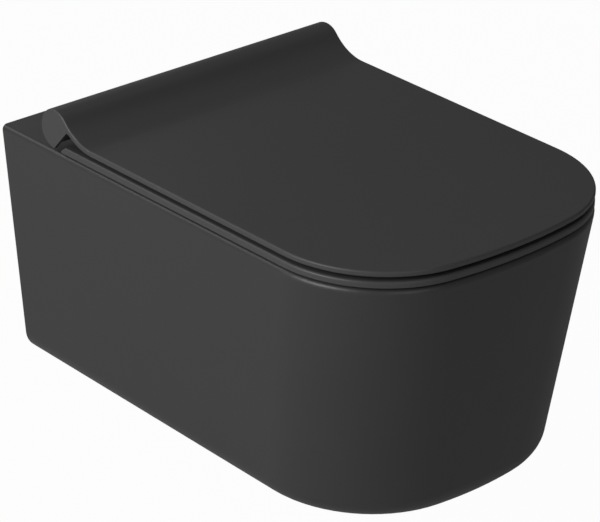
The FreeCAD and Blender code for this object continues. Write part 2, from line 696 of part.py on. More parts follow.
def make_seat_fixings(side, sign):
    """The stud, which the hinge post drops over."""
    x = f"{sign}post_spacing / 2"
    y = "-axis_rear"
    flange_bottom = "(rim_height + gasket_thick)"
    flange = rod(f"flange_{side}", "stud_flange / 2", "stud_flange_thick", x, y, flange_bottom)
    pin = rod(f"stud_pin_{side}", "stud_pin / 2", "stud_pin_height", x, y, flange_top)
    ring = rod(f"groove_ring_{side}", "stud_pin / 2 + 1", "groove_width", x, y,
               f"{latch_z} - groove_width / 2")
    core = rod(f"groove_core_{side}", "stud_pin / 2 - groove_depth", "groove_width", x, y,
               f"{latch_z} - groove_width / 2")
    head_depth = "(bolt_head_height + 0.6)"
    head_hole = rod(f"head_hole_{side}", "bolt_head / 2 + 0.1", head_depth, x, y,
                    f"{flange_top} + stud_pin_height - {head_depth}")
    shank_hole = rod(f"shank_hole_{side}", "bolt_thread / 2 + 0.2",
                     "stud_flange_thick + stud_pin_height", x, y, flange_bottom)
    groove = trimmed(f"groove_{side}", ring, core)
    stud = joined(f"stud_blank_{side}", flange, pin)
    finished(f"seat_stud_{side}", trimmed(f"stud_{side}", stud, groove, head_hole, shank_hole))


def make_deck_hardware():
    """What clamps each stud through the deck: gasket, bolt, expander and nut."""
    x, y = "post_spacing / 2", "-axis_rear"
    shank_radius = "bolt_thread / 2"
    gasket = rod("gasket_blank", "stud_flange / 2 - 0.3", "gasket_thick", x, y, "rim_height")
    gasket_hole = rod("gasket_hole", "deck_hole / 2", "gasket_thick", x, y, "rim_height")
    both_sides("deck_gasket", trimmed("gasket", gasket, gasket_hole))

    head_bottom = f"({flange_top} + stud_pin_height - bolt_head_height - 0.6)"
    head = rod("bolt_head_blank", "bolt_head / 2", "bolt_head_height", x, y, head_bottom)
    key = hexagon("bolt_key", "bolt_head / 2", "bolt_head_height / 2", x, y,
                  f"{head_bottom} + bolt_head_height / 2")
    shank = rod("bolt_shank", shank_radius, f"{head_bottom} - rim_height + bolt_reach", x, y,
                "rim_height - bolt_reach")
    both_sides("seat_bolt", trimmed("bolt", joined("bolt_blank", head, shank), key))

    sleeve_radius = "(deck_hole / 2 - 0.1)"
    expander_top = "(rim_height + gasket_thick)"
    expander_bottom = f"({expander_top} - expander_length)"
    sleeve = rod("expander_sleeve", sleeve_radius, "expander_length", x, y, expander_bottom)
    under_deck = "(rim_height - rim_slab - 0.3)"
    bulge_height = "expander_bulge * 0.7"
    bulge = document.addObject("Part::Ellipsoid", "expander_bulged")
    bind(bulge, Radius1=f"{bulge_height} / 2", Radius2="expander_bulge / 2",
         Radius3="expander_bulge / 2")
    place(bulge, x, y, f"{under_deck} - {bulge_height} / 2")
    hole = rod("expander_hole", f"{shank_radius} + 0.1", "expander_length", x, y, expander_bottom)
    both_sides("rubber_expander",
               trimmed("expander", joined("expander_blank", sleeve, bulge), hole))

    nut_bottom = f"({expander_bottom} - expander_nut_length)"
    nut = rod("expander_nut_blank", sleeve_radius, "expander_nut_length", x, y, nut_bottom)
    nut_thread = rod("expander_nut_thread", f"{shank_radius} + running_play",
                     "expander_nut_length", x, y, nut_bottom)
    both_sides("expander_nut", trimmed("nut", nut, nut_thread))


# --- the hinge -------------------------------------------------------------------------------

def shaft_section(name, play, length, x, along="x"):
    """A round bar with two flats, on the hinge axis."""
    bar = rod(name + "_round", f"pin_diameter / 2 + {play}", length, x, "-axis_rear", axis_z, along)
    half_flat = f"(shaft_flat / 2 + {play})"
    slab = box(name + "_flats", x, "-(axis_rear + pin_diameter)", f"{axis_z} - {half_flat}",
               f"{x} + {length}", "-(axis_rear - pin_diameter)", f"{axis_z} + {half_flat}")
    return shared(name, bar, slab)


def on_axis(name, radius, low_x, high_x):
    """A cylinder on the hinge axis between two places across the toilet."""
    return rod(name, radius, f"({high_x}) - ({low_x})", low_x, "-axis_rear", axis_z, "x")


def spans(sign, inner, outer):
    """Low and high ends of a stretch on one side of the toilet."""
    return (inner, outer) if sign == "" else (f"-({outer})", f"-({inner})")


def make_post(side, sign, flat_inboard):
    """A hinge post: it drops over its stud and holds one damper shaft and one plain pin."""
    low, high = spans(sign, post_inner, post_outer)
    x, y = f"{sign}post_spacing / 2", "-axis_rear"
    knuckle = on_axis(f"post_knuckle_{side}", "knuckle_radius", low, high)
    neck = box(f"post_neck_{side}", low, "-(axis_rear + post_front)", post_bottom,
               high, "-(axis_rear - post_back)", axis_z)
    blank = joined(f"post_blank_{side}", knuckle, neck)
    socket = rod(f"post_socket_{side}", "stud_pin / 2 + stud_play",
                 "stud_pin_height + stud_play", x, y, post_bottom)
    inboard = spans(sign, post_inner, f"{post_inner} + shaft_grip")
    outboard = spans(sign, f"{post_outer} - shaft_grip", post_outer)
    flat_span, round_span = (inboard, outboard) if flat_inboard else (outboard, inboard)
    flat_hole = shaft_section(f"post_flats_{side}", "running_play",
                              f"({flat_span[1]}) - ({flat_span[0]})", flat_span[0])
    pin_hole = on_axis(f"post_pin_hole_{side}", "pin_diameter / 2 + running_play", *round_span)
    button_hole = rod(f"button_hole_{side}", "button_diameter / 2 + running_play",
                      "button_face + 1", x, "-(axis_rear + post_front + 1)", latch_z, "y")
    collar_hole = rod(f"collar_hole_{side}", "button_collar / 2 + running_play",
                      f"{collar_front} - {collar_back}", x, f"-{collar_front}", latch_z, "y")
    wedge_slot = box(f"wedge_slot_{side}", f"{x} - wedge_base / 2 - 0.1", f"-{collar_back} - 1",
                     f"{latch_z} - wedge_thick / 2 - 0.1", f"{x} + wedge_base / 2 + 0.1", y,
                     f"{latch_z} + wedge_thick / 2 + 0.1")
    clip_half = "(clip_width / 2 + 0.2)"
    clip_slot = box(f"clip_slot_{side}", f"{x} - {clip_half}", f"{y} - {clip_half}",
                    f"{latch_z} - clip_thick / 2 - 0.1", f"{x} + {clip_half}",
                    f"{y} + stud_pin / 2 + 2", f"{latch_z} + clip_thick / 2 + 0.1")
    finished(f"hinge_post_{side}", trimmed(f"post_{side}", blank, socket, flat_hole, pin_hole,
                                           button_hole, collar_hole, wedge_slot, clip_slot))


def make_latch(side, sign):
    """The spring clip round the stud's groove, the button that opens it and its spring."""
    x, y = f"{sign}post_spacing / 2", "-axis_rear"
    outer = "clip_width / 2"
    inner = "(stud_pin / 2 - groove_depth + stud_play)"
    low_z = f"{latch_z} - clip_thick / 2"
    plate = box(f"clip_plate_{side}", f"{x} - {outer}", f"{y} - stud_pin / 2", low_z,
                f"{x} + {outer}", f"{y} + stud_pin / 2 + 1.6", f"{low_z} + clip_thick")
    throat = box(f"clip_throat_{side}", f"{x} - clip_throat / 2", f"{y} - stud_pin / 2 - 1",
                 f"{low_z} - 1", f"{x} + clip_throat / 2", y, f"{low_z} + clip_thick + 1")
    eye = rod(f"clip_eye_{side}", inner, "clip_thick + 2", x, y, f"{low_z} - 1")
    finished(f"release_clip_{side}", trimmed(f"clip_{side}", plate, throat, eye))

    face_y = "-(axis_rear + post_front + button_proud)"
    collar_y = f"(running_play - {collar_front})"
    head = rod(f"button_head_{side}", "button_diameter / 2",
               f"button_proud + button_face + running_play", x, face_y, latch_z, "y")
    collar = rod(f"button_flange_{side}", "button_collar / 2", "button_collar_thick", x, collar_y,
                 latch_z, "y")
    wedge_y = "(-axis_rear - wedge_rest - wedge_length)"
    stem = rod(f"button_stem_{side}", "wedge_base / 2", f"{wedge_y} - {collar_y}", x, collar_y,
               latch_z, "y")
    cone = document.addObject("Part::Cone", f"button_cone_{side}")
    bind(cone, Radius1="wedge_base / 2", Radius2="wedge_tip / 2", Height="wedge_length")
    place(cone, x, wedge_y, latch_z, turn_to["y"])
    blade = box(f"button_blade_{side}", f"{x} - wedge_base / 2", wedge_y,
                f"{latch_z} - wedge_thick / 2", f"{x} + wedge_base / 2",
                f"{wedge_y} + wedge_length", f"{latch_z} + wedge_thick / 2")
    wedge = shared(f"button_wedge_{side}", cone, blade)
    dish = document.addObject("Part::Sphere", f"button_dish_{side}")
    bind(dish, Radius="button_diameter")
    place(dish, x, f"{face_y} - button_diameter + 0.5", latch_z)
    blank = joined(f"button_blank_{side}", head, collar, stem, wedge)
    finished(f"release_button_{side}", trimmed(f"button_{side}", blank, dish))
    make_spring(side, sign)


def make_spring(side, sign):
    """An open helix behind the button's collar."""
    start = f"({collar_front} - button_collar_thick - spring_wire / 2 - 2 * running_play)"
    end = f"({collar_back} + spring_wire / 2 + 2 * running_play)"
    body = new_body(f"spring_{side}")
    section = new_sketch(body, f"spring_section_{side}", "XZ_Plane")
    coil_radius = "(button_collar / 2 - spring_wire)"
    circle = section.addGeometry(
        Part.Circle(Vector(number(coil_radius), 0, 0), Vector(0, 0, 1), number("spring_wire / 2")))
    section.addConstraint(Sketcher.Constraint("PointOnObject", circle, 3, -1))
    dimension(section, "DistanceX", (-1, 1, circle, 3), coil_radius, "coil")
    dimension(section, "Radius", (circle,), "spring_wire / 2", "wire")
    document.recompute()
    helix = body.newObject("PartDesign::AdditiveHelix", f"spring_helix_{side}")
    helix.Profile = section
    helix.ReferenceAxis = (section, ["V_Axis"])
    bind(helix, Height=f"{start} - {end}", Pitch=f"({start} - {end}) / spring_turns")
    place(body, f"{sign}post_spacing / 2", f"-{start}", latch_z, turn_to["y"])
    finished(f"button_spring_{side}", body)


def make_damper(node, side, sign, inner, outer, shaft_outboard):
    """A rotary damper: its housing turns with the seat or lid, its shaft stays in the post."""
    low, high = spans(sign, inner, outer)
    housing = on_axis(f"{node}_case", "damper_outer / 2", low, high)
    room = on_axis(f"{node}_room", "damper_outer / 2 - damper_wall", f"{low} + damper_wall",
                   f"{high} - damper_wall")
    neck = on_axis(f"{node}_neck", "pin_diameter / 2 + running_play", low, f"{low} + 2 * damper_wall")
    if shaft_outboard == (sign == ""):
        neck = on_axis(f"{node}_neck_far", "pin_diameter / 2 + running_play",
                       f"{high} - 2 * damper_wall", high)
    finished(node, trimmed(f"{node}_housing", housing, room, neck))
    rotor_low = f"{low} + damper_wall + 0.2"
    rotor_high = f"{high} - damper_wall - 0.2"
    rotor = on_axis(f"{node}_rotor", "damper_outer / 2 - damper_wall - running_play",
                    rotor_low, rotor_high)
    reach = "(knuckle_play + shaft_grip - 0.5)"
    if shaft_outboard == (sign == ""):
        stub = on_axis(f"{node}_stub", "pin_diameter / 2", rotor_high, f"{high} + 0.3")
        tail = shaft_section(f"{node}_tail", "0", f"{reach}", high)
    else:
        stub = on_axis(f"{node}_stub", "pin_diameter / 2", f"{low} - 0.3", rotor_low)
        tail = shaft_section(f"{node}_tail", "0", f"{reach}", f"{low} - {reach}")
    finished(f"{node}_shaft", joined(f"{node}_spindle", rotor, stub, tail))


def make_pin(node, sign, inner, outer, post_outboard):
    """A plain pin held in the post, and the bush that turns on it."""
    low, high = spans(sign, inner, outer)
    bush = on_axis(f"{node}_bush_blank", "bush_outer / 2", low, high)
    bush_hole = on_axis(f"{node}_bush_hole", "pin_diameter / 2 + running_play", low, high)
    finished(f"{node}_bush", trimmed(f"{node}_bush_one", bush, bush_hole))
    reach = "(knuckle_play + shaft_grip - 0.5)"
    if post_outboard == (sign == ""):
        finished(f"{node}_pin", on_axis(f"{node}_pin_one", "pin_diameter / 2", low,
                                        f"{high} + {reach}"))
    else:
        finished(f"{node}_pin", on_axis(f"{node}_pin_one", "pin_diameter / 2",
                                        f"{low} - {reach}", high))


# --- the seat ring ---------------------------------------------------------------------------

def slab_outline(inset="seat_inset", rear="seat_rear"):
    """The seat and lid in plan."""
    return dict(
        half_width=f"rim_width / 2 - {inset}",
        front=f"rim_length - {inset}",
        rear=rear,
        front_radius=f"rim_front_radius - {inset}",
        corner_radius=f"rim_corner_radius - {inset}",
    )


def hole_outline():
    return dict(
        half_width="seat_hole_width / 2",
        front="seat_hole_front",
        rear="seat_hole_rear",
        front_radius="seat_hole_front_radius",
        corner_radius="seat_hole_corner_radius",
        rear_radius="seat_hole_rear_radius",
    )


def make_slab(name, height, thick, outline):
    """A flat plate of a given plan."""
    body = new_body(name)
    plan = draw_outline(new_sketch(body, name + "_plan", height=height), **outline)
    document.recompute()
    pad = body.newObject("PartDesign::Pad", name + "_pad")
    pad.Profile = plan
    bind(pad, Length=thick)
    document.recompute()
    return body


def make_seat():
    ring = make_slab("ring", seat_bottom, "seat_thick", slab_outline())
    hole = new_sketch(ring, "ring_hole", height=seat_bottom)
    draw_outline(hole, **hole_outline())
    document.recompute()
    pocket = ring.newObject("PartDesign::Pocket", "ring_opening")
    pocket.Profile = hole
    pocket.Type = "ThroughAll"
    pocket.Reversed = True
    document.recompute()
    top, bottom = number(seat_top), number(seat_bottom)
    rear = -size["seat_rear"]
    rounded(ring, "seat_edge", lambda edge, p: near(p.z, top, 0.01) and p.y < rear - 1)
    rounded(ring, "seat_edge / 2", lambda edge, p: near(p.z, bottom, 0.01) and p.y < rear - 1)
    round_barrel = on_axis("seat_hollow", "barrel_outer + seat_hollow_play",
                           "-rim_width / 2", "rim_width / 2")
    solids = [trimmed("ring_hollowed", ring, round_barrel)]
    hollows = []
    for side, sign in (("left", "-"), ("right", "")):
        low, high = spans(sign, ear_inner, f"{ear_inner} + ear_width")
        solids.append(on_axis(f"ear_knuckle_{side}", "knuckle_radius", low, high))
        solids.append(box(f"ear_foot_{side}", low, "-(seat_rear + seat_thick)", seat_bottom,
                          high, "-axis_rear", seat_top))
        solids.append(box(f"ear_gusset_{side}", low, "-(axis_rear + knuckle_radius)", seat_bottom,
                          high, "-(axis_rear + knuckle_radius / 2)", axis_z))
        post_low, post_high = spans(sign, f"{post_inner} - knuckle_play",
                                    f"{post_outer} + knuckle_play")
        hollows.append(box(f"post_notch_{side}", post_low,
                           "-(axis_rear + post_front + button_proud + 2)", f"{seat_bottom} - 1",
                           post_high, "-seat_rear + 1", f"{seat_top} + 1"))
        bore = "bush_outer / 2" if side == "left" else "damper_outer / 2"
        hollows.append(on_axis(f"ear_bore_{side}", bore, low, high))
        for row in ("rear", "front"):
            hollows.append(rod(f"pad_recess_{side}_{row}", "pad_diameter / 2",
                               "pad_recess", f"{sign}buffer_half_spacing", f"-buffer_{row}",
                               seat_bottom))
    finished("seat_ring", trimmed("seat", joined("seat_blank", *solids), *hollows))

    pads = [rod(f"pad_{sign}_{row}".replace("-", "n"), "pad_diameter / 2 - 0.1",
                "pad_recess + seat_gap - buffer_play", f"{sign}buffer_half_spacing",
                f"-buffer_{row}", "rim_height + buffer_play")
            for sign in ("-", "") for row in ("rear", "front")]
    finished("seat_buffers", grouped("seat_buffer_set", *pads))


# --- the lid ---------------------------------------------------------------------------------

def is_upper_edge(edge, middle):
    """The lid's upper edges: along both sides, round the front and round the barrel's ends."""
    upright = near(edge.Length, size["lid_thick"])
    runs_across = near(middle.x, 0) and middle.y > -size["rim_length"] / 2
    highest = max(vertex.Z for vertex in edge.Vertexes)
    return not upright and not runs_across and highest > number(lid_top) - 0.1


def barrel_flat(name, distance, low_x, high_x):
    """What a flat on the barrel's lower front cuts off, a given distance from the axis."""
    block = document.addObject("Part::Box", name)
    bind(block, Length=f"({high_x}) - ({low_x})", Width="2 * barrel_outer", Height="barrel_outer")
    place(block, low_x,
          f"-axis_rear - {distance} * cos(barrel_flat_tilt) + barrel_outer * sin(barrel_flat_tilt)",
          f"{axis_z} - {distance} * sin(barrel_flat_tilt) - barrel_outer * cos(barrel_flat_tilt)",
          Rotation(Vector(1, 0, 0), 90))
    bind(block, Placement__Rotation__Angle="90 + barrel_flat_tilt")
    return block


def make_lid():
    """A thin plate that sweeps up and wraps over the barrel."""
    rise = f"({lid_top} + lid_sweep)"
    reach = "(lid_sweep + barrel_outer)"
    sweep_rear = f"(axis_rear + sqrt({reach} * {reach} - ({rise} - {axis_z}) * ({rise} - {axis_z})))"
    meeting = f"({sweep_rear} - ({sweep_rear} - axis_rear) * lid_sweep / {reach})"
    half = "(rim_width / 2 - seat_inset)"
    plate = make_slab("lid_plate", lid_bottom, "lid_thick", slab_outline(rear=sweep_rear))
    under = rod("sweep_under", "lid_sweep + lid_thick", f"2 * {half}", f"-{half}",
                f"-{sweep_rear}", rise, "x")
    over = rod("sweep_over", "lid_sweep", f"2 * {half} + 2", f"-{half} - 1",
               f"-{sweep_rear}", rise, "x")
    stretch = box("sweep_stretch", f"-{half}", f"-{sweep_rear}", f"{lid_bottom} - 1",
                  half, f"-{meeting}", f"{axis_z} + barrel_outer")
    rise_band = shared("sweep_band", trimmed("sweep_ring", under, over), stretch)
    barrel = on_axis("barrel", "barrel_outer", f"-{half}", half)

    inner = "barrel_outer - barrel_wall"
    bay_inner = f"({post_inner} - knuckle_play - boss_width)"
    bay_outer = f"({ear_inner} + ear_width + knuckle_play)"
    low_z = f"({axis_z} - barrel_outer - 1)"
    behind = "-(axis_rear - barrel_outer - 1)"
    ahead = "-(axis_rear + barrel_outer)"
    hollows = [on_axis("barrel_middle", inner, f"-{bay_inner}", bay_inner),
               box("middle_underside", f"-{bay_inner}", ahead, low_z,
                   bay_inner, behind, f"{axis_z} - barrel_underside")]
    for side, sign in (("left", "-"), ("right", "")):
        low, high = spans(sign, boss_outer, bay_outer)
        hollows.append(on_axis(f"bay_{side}", inner, low, high))
        hollows.append(box(f"bay_underside_{side}", low, ahead, low_z, high, behind,
                           f"{axis_z} + barrel_front"))
        hollows.append(box(f"bay_back_{side}", low, "-(axis_rear - barrel_back)", low_z,
                           high, behind, f"{axis_z} + barrel_outer + 1"))
        low, high = spans(sign, bay_outer, f"({half} + 1)")
        hollows.append(trimmed(f"flat_{side}_under_sweep",
                               barrel_flat(f"end_flat_{side}", "barrel_flat", low, high), under))
        low, high = spans(sign, bay_outer, f"({half} - barrel_cap)")
        hollows.append(trimmed(f"barrel_end_{side}", on_axis(f"end_room_{side}", inner, low, high),
                               barrel_flat(f"end_wall_{side}", "(barrel_flat - barrel_wall)",
                                           low, high)))
        hollows.append(box(f"end_underside_{side}", low, ahead, low_z, high, behind,
                           f"{axis_z} - barrel_underside"))
        low, high = spans(sign, f"({boss_outer} - boss_width - 1)", f"{boss_outer} + 1")
        bore = "bush_outer / 2" if side == "right" else "damper_outer / 2"
        hollows.append(on_axis(f"boss_bore_{side}", bore, low, high))
        for row in ("rear", "front"):
            hollows.append(rod(f"peg_hole_{side}_{row}", "buffer_diameter / 4", "lid_thick / 2",
                               f"{sign}buffer_half_spacing", f"-buffer_{row}", lid_bottom))
    blank = joined("lid_blank", plate, rise_band, barrel)
    document.recompute()
    soft = document.addObject("Part::Fillet", "lid_softened")
    soft.Base = blank
    soft.Edges = [(int(name[4:]), size["lid_edge"], size["lid_edge"])
                  for name in edges_where(blank.Shape, is_upper_edge)]
    document.recompute()
    finished("lid", trimmed("lid_cut", soft, *hollows))

    buffers = []
    for sign in ("-", ""):
        for row in ("rear", "front"):
            name = f"buffer_{'left' if sign else 'right'}_{row}"
            where = (f"{sign}buffer_half_spacing", f"-buffer_{row}")
            foot = rod(name + "_foot", "buffer_diameter / 2", "lid_gap - buffer_play", *where,
                       f"{seat_top} + buffer_play")
            peg = rod(name + "_peg", "buffer_diameter / 4", "lid_thick / 2", *where, lid_bottom)
            buffers.append(joined(name, foot, peg))
    finished("lid_buffers", grouped("lid_buffer_set", *buffers))


make_wall_fixings()
for side, sign in (("left", "-"), ("right", "")):
    make_seat_fixings(side, sign)
    make_post(side, sign, flat_inboard=side == "left")
    make_latch(side, sign)
make_deck_hardware()
make_seat()
make_lid()
boss_inner = f"({boss_outer} - boss_width)"
ear_outer = f"({ear_inner} + ear_width)"
damper_far = f"({ear_inner} + damper_length)"
make_damper("seat_damper", "right", "", ear_inner, damper_far, shaft_outboard=False)
make_damper("lid_damper", "left", "-", f"({boss_outer} - damper_length)", boss_outer,
            shaft_outboard=True)
make_pin("seat_hinge", "-", ear_inner, ear_outer, post_outboard=False)
make_pin("lid_hinge", "", boss_inner, boss_outer, post_outboard=True)
make_pan()
document.recompute()
for thing in document.Objects:
    if "Invalid" in thing.State or "Error" in thing.State:
        raise RuntimeError(f"{thing.Name} failed: {thing.State}")
os.makedirs("parts", exist_ok=True)
for node, thing in sub_parts:
    shape = thing.Shape
    if shape.isNull() or not shape.isValid():
        raise RuntimeError(f"{node} has no valid shape")
    print(node, len(shape.Solids), round(shape.Volume / 1000, 1))
    shape.exportStep(f"parts/{node}.step")
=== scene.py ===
import json
import math
import bmesh
import bpy
from mathutils import Matrix, Vector


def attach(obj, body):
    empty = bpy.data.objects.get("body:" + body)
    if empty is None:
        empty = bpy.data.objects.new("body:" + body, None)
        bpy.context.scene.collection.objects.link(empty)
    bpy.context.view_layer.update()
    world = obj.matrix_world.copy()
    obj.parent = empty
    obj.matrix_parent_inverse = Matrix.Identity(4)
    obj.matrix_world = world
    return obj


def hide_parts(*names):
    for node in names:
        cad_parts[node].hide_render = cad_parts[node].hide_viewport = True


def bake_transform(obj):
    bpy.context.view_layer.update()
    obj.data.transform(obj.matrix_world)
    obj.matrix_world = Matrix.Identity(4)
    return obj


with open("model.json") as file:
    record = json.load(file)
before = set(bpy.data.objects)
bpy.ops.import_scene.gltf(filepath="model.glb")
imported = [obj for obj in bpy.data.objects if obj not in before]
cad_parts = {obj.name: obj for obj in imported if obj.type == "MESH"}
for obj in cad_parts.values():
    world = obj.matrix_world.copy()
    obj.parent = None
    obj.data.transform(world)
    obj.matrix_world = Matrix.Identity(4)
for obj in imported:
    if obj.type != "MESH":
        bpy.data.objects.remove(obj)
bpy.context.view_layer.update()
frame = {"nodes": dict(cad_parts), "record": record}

# A wall hung toilet with a slim soft-close seat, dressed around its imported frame. Metres, with
# the origin midway between the wall fixings, +Y into the wall and +Z up.

nodes = frame["nodes"]
print("frame loaded,", len(nodes), "nodes")


class Wire:
    # one socket in a shader or geometry tree; arithmetic on values adds Math nodes
    def __init__(self, tree, socket=None):
        self.tree = tree
        self.socket = socket

    def add(self, kind, settings=None, inputs=None, output=0):
        made = self.tree.nodes.new(kind)
        for name, value in (settings or {}).items():
            setattr(made, name, value)
        for name, value in (inputs or {}).items():
            for wire in value if isinstance(value, list) else [value]:
                if isinstance(wire, Wire):
                    self.tree.links.new(wire.socket, made.inputs[name])
            if not isinstance(value, (Wire, list)):
                made.inputs[name].default_value = value
        return Wire(self.tree, made.outputs[output])

    def math(self, operation, first, second):
        return self.add("ShaderNodeMath", {"operation": operation}, {0: first, 1: second})

    def __add__(self, other):
        return self.math("ADD", self, other)

    def __radd__(self, other):
        return self.math("ADD", other, self)

    def __sub__(self, other):
        return self.math("SUBTRACT", self, other)

    def __rsub__(self, other):
        return self.math("SUBTRACT", other, self)

    def __mul__(self, other):
        return self.math("MULTIPLY", self, other)

    def __rmul__(self, other):
        return self.math("MULTIPLY", other, self)

    def __truediv__(self, other):
        return self.math("DIVIDE", self, other)

    def __rtruediv__(self, other):
        return self.math("DIVIDE", other, self)

    def mix(self, low, high):
        # a colour between two, by this value
        inputs = {"Factor": self, 6: (*low, 1), 7: (*high, 1)}
        return self.add("ShaderNodeMix", {"data_type": "RGBA"}, inputs, output=2)


def startFinish(name):
    material = bpy.data.materials.new(name)
    material.use_nodes = True
    material.node_tree.nodes.clear()
    return material, Wire(material.node_tree)


def endTree(shader, surface, kind):
    out = shader.tree.nodes.new(kind)
    shader.tree.links.new(surface.socket, out.inputs["Surface"])


def endFinish(shader, colour, roughness, normal, metallic=0.0):
    inputs = {"Base Color": colour, "Roughness": roughness, "Normal": normal, "Metallic": metallic}
    principled = shader.add("ShaderNodeBsdfPrincipled", None, inputs)
    endTree(shader, principled, "ShaderNodeOutputMaterial")


def objectPlace(shader, scale=(1, 1, 1)):
    # the piece's own coordinates in metres, stretched along some axes
    place = shader.add("ShaderNodeTexCoord", output="Object")
    return shader.add("ShaderNodeMapping", None, {"Vector": place, "Scale": scale})


def noise(shader, place, size, detail):
    return shader.add("ShaderNodeTexNoise", None,
                      {"Vector": place, "Scale": 1 / size, "Detail": detail})


def bump(shader, height, depth, under=None):
    inputs = {"Height": height, "Distance": depth, "Strength": 1.0}
    if under:
        inputs["Normal"] = under
    return shader.add("ShaderNodeBump", None, inputs)


glaze = {
    "dark": (0.030, 0.030, 0.031), "light": (0.036, 0.036, 0.037),
    "roughness": 0.40, "roughnessSpread": 0.10, "grainRoughness": 0.05,
    "cloudSize": 0.11, "waveSize": 0.035, "waveDepth": 0.00025,
    "grainSize": 0.0009, "grainDepth": 0.000008,
}


def glazeFinish():
    # matt black glaze: slow clouds in its colour, a slightly wavy surface and a fine grain
    material, shader = startFinish("matt black glaze")
    place = objectPlace(shader)
    clouds = noise(shader, place, glaze["cloudSize"], detail=3)
    waves = noise(shader, place, glaze["waveSize"], detail=1)
    grain = noise(shader, place, glaze["grainSize"], detail=2)
    roughness = (glaze["roughness"] + (clouds - 0.5) * glaze["roughnessSpread"]
                 + (grain - 0.5) * glaze["grainRoughness"])
    normal = bump(shader, waves, glaze["waveDepth"])
    normal = bump(shader, grain, glaze["grainDepth"], normal)
    endFinish(shader, clouds.mix(glaze["dark"], glaze["light"]), roughness, normal)
    return material


duroplast = {
    "dark": (0.049, 0.049, 0.050), "light": (0.054, 0.054, 0.055),
    "roughness": 0.46, "roughnessSpread": 0.05,
    "cloudSize": 0.16, "peelSize": 0.0022, "peelDepth": 0.000006,
}


def duroplastFinish():
    # pressed seat plastic: even colour with a fine orange peel
    material, shader = startFinish("black duroplast")
    place = objectPlace(shader)
    clouds = noise(shader, place, duroplast["cloudSize"], detail=2)
    peel = noise(shader, place, duroplast["peelSize"], detail=2)
    roughness = duroplast["roughness"] + (clouds - 0.5) * duroplast["roughnessSpread"]
    normal = bump(shader, peel, duroplast["peelDepth"])
    endFinish(shader, clouds.mix(duroplast["dark"], duroplast["light"]), roughness, normal)
    return material


moulded = {
    "cloudSize": 0.012, "grainSize": 0.0006, "grainDepth": 0.000006, "grainRoughness": 0.12,
}


def plasticFinish(name, dark, light, roughness):
    # moulded plastic or rubber with a fine spark-eroded grain
    material, shader = startFinish(name)
    place = objectPlace(shader)
    clouds = noise(shader, place, moulded["cloudSize"], detail=3)
    grain = noise(shader, place, moulded["grainSize"], detail=2)
    roughness = roughness + (grain - 0.5) * moulded["grainRoughness"]
    normal = bump(shader, grain, moulded["grainDepth"])
    endFinish(shader, clouds.mix(dark, light), roughness, normal)
    return material


machined = {
    "streakSize": 0.0012, "streakDepth": 0.00001, "streakRoughness": 0.18,
    "stainSize": 0.02, "stainRoughness": 0.1,
    "cast": (1, 1, 1), "lathed": (1, 1, 8),  # how far the streaks are squeezed along each axis
}


def metalFinish(name, dark, light, roughness, made, metallic=1.0):
    # cast or turned metal: fine tool marks and slow stains
    material, shader = startFinish(name)
    streaks = noise(shader, objectPlace(shader, machined[made]), machined["streakSize"], detail=3)
    stains = noise(shader, objectPlace(shader), machined["stainSize"], detail=3)
    roughness = (roughness + (streaks - 0.5) * machined["streakRoughness"]
                 + (stains - 0.5) * machined["stainRoughness"])
    normal = bump(shader, streaks, machined["streakDepth"])
    endFinish(shader, stains.mix(dark, light), roughness, normal, metallic)
    return material


finishes = {
    "ceramic": glazeFinish(),
    "seat_plastic": duroplastFinish(),
    "rubber": plasticFinish("soft rubber", (0.014, 0.014, 0.015), (0.024, 0.024, 0.025), 0.72),
    "hinge_metal": metalFinish("painted zinc", (0.022, 0.022, 0.023), (0.030, 0.030, 0.031), 0.42,
                               "cast", metallic=0.0),
    "button_plastic": plasticFinish("grey button", (0.10, 0.10, 0.102), (0.13, 0.13, 0.132), 0.38),
    "damper_plastic": plasticFinish("damper case", (0.46, 0.46, 0.43), (0.56, 0.56, 0.53), 0.5),
    "steel": metalFinish("stainless steel", (0.46, 0.46, 0.47), (0.60, 0.60, 0.61), 0.34,
                         "lathed"),
    "brass": metalFinish("turned brass", (0.62, 0.44, 0.17), (0.76, 0.57, 0.26), 0.36, "lathed"),
    "nylon": plasticFinish("natural nylon", (0.66, 0.65, 0.60), (0.76, 0.75, 0.71), 0.48),
}
print("finishes made")

slotOf = {row["node"]: row["material_slot"] for row in frame["record"]["subparts"]}
for name, node in nodes.items():
    node.data.materials.clear()
    node.data.materials.append(finishes[slotOf[name]])
print("frame pieces finished")

sharpAngle = 38  # degrees, past which an edge of a grown piece is shaded sharp
turnPoints = 24  # points in one turn of a thread or a spring


def startTree(name, labels):
    # a Geometry Nodes tree with a named input for each size
    tree = bpy.data.node_groups.new(name, "GeometryNodeTree")
    tree.interface.new_socket("Geometry", in_out="OUTPUT", socket_type="NodeSocketGeometry")
    tree.interface.new_socket("Geometry", in_out="INPUT", socket_type="NodeSocketGeometry")
    for label in labels:
        tree.interface.new_socket(label, in_out="INPUT", socket_type="NodeSocketFloat")
    start = tree.nodes.new("NodeGroupInput")
    return Wire(tree), {label: Wire(tree, start.outputs[label]) for label in ("Geometry", *labels)}


def woundWire(grow, path, thickness, points):
    # a round wire along a path, with thickness as its radius
    section = grow.add("GeometryNodeCurvePrimitiveCircle", None,
                       {"Resolution": points, "Radius": thickness})
    return grow.add("GeometryNodeCurveToMesh", None,
                    {"Curve": path, "Profile Curve": section, "Fill Caps": True})


